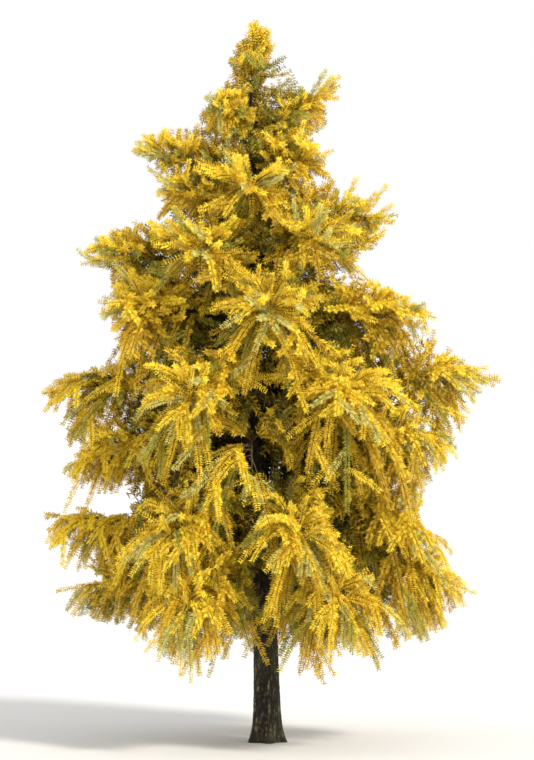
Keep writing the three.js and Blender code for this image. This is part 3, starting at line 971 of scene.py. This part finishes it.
# %% [markdown]
# ## Needles along a line, with Geometry Nodes
#
# The shoots are plain lines of points. The tree below turns them to curves, sets a point every few
# centimetres, puts a rosette on each with its axis along the shoot, and turns each rosette by the golden
# angle from the one before, as leaves grow. The instances are made real at the end, because an export drops
# them. The named attribute girth makes a brush slimmer towards both ends.

# %% Geometry Nodes for a brush of needles
GOLDEN_ANGLE = math.radians(137.508)
LEAST_ROSETTE = 0.82  # size of a rosette, over the plain one
LARGEST_ROSETTE = 1.12


def line_tree(name, inputs):
    """A tree that takes lines: the tree, its own inputs, all their values, the curves and their girth."""
    tree = bpy.data.node_groups.new(name, "GeometryNodeTree")
    tree.interface.new_socket("Geometry", in_out="OUTPUT", socket_type="NodeSocketGeometry")
    tree.interface.new_socket("Lines", in_out="INPUT", socket_type="NodeSocketGeometry")
    made = [tree.interface.new_socket(label, in_out="INPUT", socket_type=kind) for label, kind in inputs]
    given = add(tree, "NodeGroupInput").outputs
    curves = add(tree, "GeometryNodeMeshToCurve", {"Mesh": given["Lines"]})
    girth = add(tree, "GeometryNodeInputNamedAttribute", {"Name": "girth"}, data_type="FLOAT")
    return tree, made, given, curves, girth


def end_tree(tree, geometry, material):
    """Makes the instances real and sets the material, as the last nodes of a tree."""
    real = add(tree, "GeometryNodeRealizeInstances", {"Geometry": geometry})
    painted = add(tree, "GeometryNodeSetMaterial", {"Geometry": real, "Material": material})
    add(tree, "NodeGroupOutput", {"Geometry": painted})


brush, brush_inputs, given, curves, girth = line_tree("brush_of_needles", [
    ("Rosette spacing", "NodeSocketFloat"), ("Rosette", "NodeSocketObject"),
    ("Needle material", "NodeSocketMaterial"), ("Seed", "NodeSocketInt")])
spaced = add(brush, "GeometryNodeResampleCurve", {"Curve": curves, "Length": given["Rosette spacing"]},
             mode="LENGTH")
aligned = add(brush, "FunctionNodeAlignRotationToVector", {"Vector": add(brush, "GeometryNodeInputTangent")},
              axis="Z")
turn = add(brush, "ShaderNodeMath", {0: add(brush, "GeometryNodeInputIndex"), 1: GOLDEN_ANGLE},
           operation="MULTIPLY")
spin = add(brush, "FunctionNodeAxisAngleToRotation", {"Axis": (0, 0, 1), "Angle": turn})
spun = add(brush, "FunctionNodeRotateRotation", {"Rotation": aligned, "Rotate By": spin},
           rotation_space="LOCAL")
uneven = add(brush, "FunctionNodeRandomValue",
             {2: LEAST_ROSETTE, 3: LARGEST_ROSETTE, "Seed": given["Seed"]}, data_type="FLOAT")
size = add(brush, "ShaderNodeMath", {0: girth, 1: uneven.outputs[1]}, operation="MULTIPLY")
source = add(brush, "GeometryNodeObjectInfo", {"Object": given["Rosette"], "As Instance": True})
placed = add(brush, "GeometryNodeInstanceOnPoints", {
    "Points": spaced, "Instance": source.outputs["Geometry"], "Rotation": spun, "Scale": size})
end_tree(brush, placed, given["Needle material"])

# %% Geometry Nodes for twigs
twig_tree, twig_inputs, given, curves, girth = line_tree("twigs", [
    ("Sides", "NodeSocketInt"), ("Twig material", "NodeSocketMaterial")])
tapered = add(twig_tree, "GeometryNodeSetCurveRadius", {"Curve": curves, "Radius": girth})
section = add(twig_tree, "GeometryNodeCurvePrimitiveCircle", {"Resolution": given["Sides"], "Radius": 1.0})
tube = add(twig_tree, "GeometryNodeCurveToMesh", {
    "Curve": tapered, "Profile Curve": section, "Scale": add(twig_tree, "GeometryNodeInputRadius"),
    "Fill Caps": True})
end_tree(twig_tree, tube, given["Twig material"])

# %% [markdown]
# ## From lines to plain meshes
#
# The lines of a piece go into one mesh of edges, with a girth on each point. The modifier makes the piece,
# new_from_object turns the result to a plain mesh, and the modifier and the lines are thrown away.

# %% From lines to plain meshes


def lines_object(name, lines):
    """A mesh of edges along lines of points in mm, each with its girths."""
    points, girths, edges = [], [], []
    for line, girth_values in lines:
        edges += [(len(points) + i, len(points) + i + 1) for i in range(len(line) - 1)]
        points.extend(np.asarray(line) * MM)
        girths.extend(girth_values)
    mesh = bpy.data.meshes.new(name)
    mesh.from_pydata(points, edges, [])
    mesh.attributes.new("girth", "FLOAT", "POINT").data.foreach_set("value", girths)
    lines_piece = bpy.data.objects.new(name, mesh)
    scene.collection.objects.link(lines_piece)
    return lines_piece


def grown(name, lines, tree, inputs, values):
    """The plain mesh piece that a Geometry Nodes tree makes on these lines from these values."""
    carrier = lines_object(name + "_lines", lines)
    modifier = carrier.modifiers.new("grow", "NODES")
    modifier.node_group = tree
    for made, value in zip(inputs, values):
        modifier[made.identifier] = value
    graph = bpy.context.evaluated_depsgraph_get()
    mesh = bpy.data.meshes.new_from_object(carrier.evaluated_get(graph))
    mesh.name = name
    bpy.data.objects.remove(carrier)
    if "girth" in mesh.attributes:
        mesh.attributes.remove(mesh.attributes["girth"])
    piece = bpy.data.objects.new(name, mesh)
    scene.collection.objects.link(piece)
    mesh.calc_loop_triangles()
    print(name, len(mesh.loop_triangles), "triangles")
    return piece


# %% [markdown]
# ## Bark and needles as materials
#
# Old larch bark is dry, matt and grey-brown, pale on the weathered plates and darker in the fissures, with a
# green bloom of algae where rain runs. The colours follow the relief kept on each point: the near black at
# the bottom of the fissures is painted shade over the darker wood there. Noise in the object's own space
# breaks them up.

# %% Bark of the trunk and the boughs
MOTTLE_SHARE = 0.7  # how far the mottling shifts the colours up and down the relief
ALGAE_MM = 600  # across a patch of algae


def mottling(tree, patch_mm, detail):
    """Noise from 0 to 1 in the object's own space, in patches about this wide."""
    place = add(tree, "ShaderNodeTexCoord").outputs["Object"]
    return add(tree, "ShaderNodeTexNoise",
               {"Vector": place, "Scale": 1 / (patch_mm * MM), "Detail": detail})


def ramp(tree, factor, stops):
    """A colour ramp with these places and hex colours."""
    node = add(tree, "ShaderNodeValToRGB", {"Fac": factor})
    elements = node.color_ramp.elements
    while len(elements) < len(stops):
        elements.new(1)
    for element, (place, colour) in zip(elements, stops):
        element.position = place
        element.color = linear(colour)
    return node.outputs["Color"]


def bark(name, stops, algae, algae_most, mottle_mm, grain_mm):
    """Bark whose colour follows its relief, darker in the fissures partly as painted shade, with mottling,
    grain and a bloom of algae.
    """
    material, tree, surface = matt(name, algae, roughness=0.92, ior=1.45)
    relief_node = add(tree, "ShaderNodeAttribute", attribute_name="relief")
    mixed = add(tree, "ShaderNodeMath", {0: mottling(tree, mottle_mm, 4), 1: -0.5}, operation="ADD")
    shifted = add(tree, "ShaderNodeMath", {0: mixed, 1: MOTTLE_SHARE, 2: relief_node.outputs["Fac"]},
                  operation="MULTIPLY_ADD", use_clamp=True)
    amount = add(tree, "ShaderNodeMapRange", {
        "Value": mottling(tree, ALGAE_MM, 3), "From Min": 0.45, "From Max": 0.7, "To Min": 0.0,
        "To Max": algae_most})
    bloom = add(tree, "ShaderNodeMix", {0: amount, 6: ramp(tree, shifted, stops), 7: linear(algae)},
                data_type="RGBA")
    tree.links.new(bloom.outputs[2], surface["Base Color"])
    grain = mottling(tree, grain_mm, 5)
    bump = add(tree, "ShaderNodeBump", {"Height": grain, "Strength": 0.5, "Distance": 4 * MM})
    tree.links.new(bump.outputs["Normal"], surface["Normal"])
    return material


# The darkest stop of each ramp, at the bottom of the fissures, is partly painted shade
trunk_bark = bark("larch_bark", [(0.0, "0d0b07"), (0.4, "28231a"), (0.68, "534a35"), (1.0, "8f8366")],
                  algae="4f5230", algae_most=0.3, mottle_mm=70, grain_mm=6)
bough_bark = bark("young_larch_bark", [(0.0, "241c10"), (0.5, "4c3c24"), (1.0, "7b6644")],
                  algae="5a5a30", algae_most=0.45, mottle_mm=60, grain_mm=4)
trunk.data.materials.append(trunk_bark)
boughs.data.materials.append(bough_bark)

# %% [markdown]
# A larch twig is a thin, ridged, straw to orange-brown rod. It is too slim to carry a pattern that shows, so
# noise along it only shifts its brown.

# %% Bark of the twigs
TWIG_MOTTLE_MM = 120

twig_bark, twig_nodes, twig_surface = matt("twig_bark", "5a4220", roughness=0.8, ior=1.45)
twig_colour = ramp(twig_nodes, mottling(twig_nodes, TWIG_MOTTLE_MM, 3),
                   [(0.3, "2e210f"), (0.55, "5a4220"), (0.75, "7d6030")])
twig_nodes.links.new(twig_colour, twig_surface["Base Color"])

# %% [markdown]
# A needle in autumn is soft and waxy: a dull sheen, no mirror gloss. Its tint is one plain colour a shoot,
# because a pattern with a place would slide on a piece of many joined needles. Only the roughness varies.

# %% Needles
WAX_PATCH_MM = 50


def needle_material(name, colour):
    """Needles of one tint, whose wax is smoother here and duller there."""
    material, tree, surface = matt(f"autumn_needles_{name}", colour, roughness=0.5, ior=1.42)
    wax = mottling(tree, WAX_PATCH_MM, 2)
    sheen = add(tree, "ShaderNodeMapRange", {"Value": wax, "To Min": 0.4, "To Max": 0.7})
    tree.links.new(sheen.outputs["Result"], surface["Roughness"])
    return material


# %% [markdown]
# ## Grow the pieces
#
# Each tint is a piece of its own, and a tint with many shoots is split, so that no piece grows past the
# number of triangles that its file can keep.

# %% Grow the needles and the twigs
ROSETTE_SPACING = 46 * MM
FINGER_ROSETTES = 36 * MM
BROAD_SPACING = 88 * MM
MOST_TRIANGLES = 180000
TWIGS_PER_PIECE = 10000
TWIG_SIDES = 3
FIRST_SEED = 4
TRIANGLES_PER_ROSETTE = 2 * NEEDLES_PER_ROSETTE


def split(lines, spacing):
    """Lists of lines that each give a piece of fewer triangles than the most."""
    parts, triangles = [[]], 0
    for line in lines:
        steps = np.linalg.norm(np.diff(np.asarray(line[0]), axis=0), axis=1).sum() * MM / spacing
        triangles += (steps + 1) * TRIANGLES_PER_ROSETTE
        if triangles > MOST_TRIANGLES:
            parts.append([])
            triangles = (steps + 1) * TRIANGLES_PER_ROSETTE
        parts[-1].append(line)
    return parts


needle_pieces = []
for name, colour in TINTS + [TIP_TINT] + INNER_SHADE_TINTS:
    is_inner = (name, colour) in INNER_SHADE_TINTS
    material = needle_material(name, colour)
    kinds = [("needles", brushes.get(name), BROAD_SPACING if is_inner else ROSETTE_SPACING),
             ("fingers", fingers.get(name), FINGER_ROSETTES)]
    for kind, lines, spacing in kinds:
        for number, part in enumerate(split(lines, spacing) if lines else [], 1):
            values = [spacing, broad_rosette if is_inner else fine_rosette, material, FIRST_SEED + number]
            needle_pieces.append(grown(f"{kind}_{name}_{number}", part, brush, brush_inputs, values))
twig_pieces = []
for number in range(math.ceil(len(twigs) / TWIGS_PER_PIECE)):
    part = twigs[number * TWIGS_PER_PIECE:(number + 1) * TWIGS_PER_PIECE]
    twig_lines = [(points, np.asarray(radii) * MM) for points, radii in part]
    twig_pieces.append(
        grown(f"twigs_{number + 1}", twig_lines, twig_tree, twig_inputs, [TWIG_SIDES, twig_bark]))
for helper in (fine_rosette, broad_rosette):
    bpy.data.objects.remove(helper)

# %% [markdown]
# ## Tie the pieces to the frame
#
# Every piece rides on the one body, and the model's parts for the nodes that it stands for are hidden.

# %% Tie the pieces to the frame
bough_nodes = [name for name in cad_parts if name.endswith("_bough")]
spray_nodes = [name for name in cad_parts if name.endswith("_sprays")]
finishes = [(trunk, ["trunk"], "bark"), (boughs, bough_nodes, "bough_bark")]
finishes += [(piece, spray_nodes, "bough_bark") for piece in twig_pieces]
finishes += [(piece, spray_nodes, "needles") for piece in needle_pieces]
for piece, nodes, slot in finishes:
    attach(piece, "root")
    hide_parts(*nodes)
print(len(finishes), "pieces")
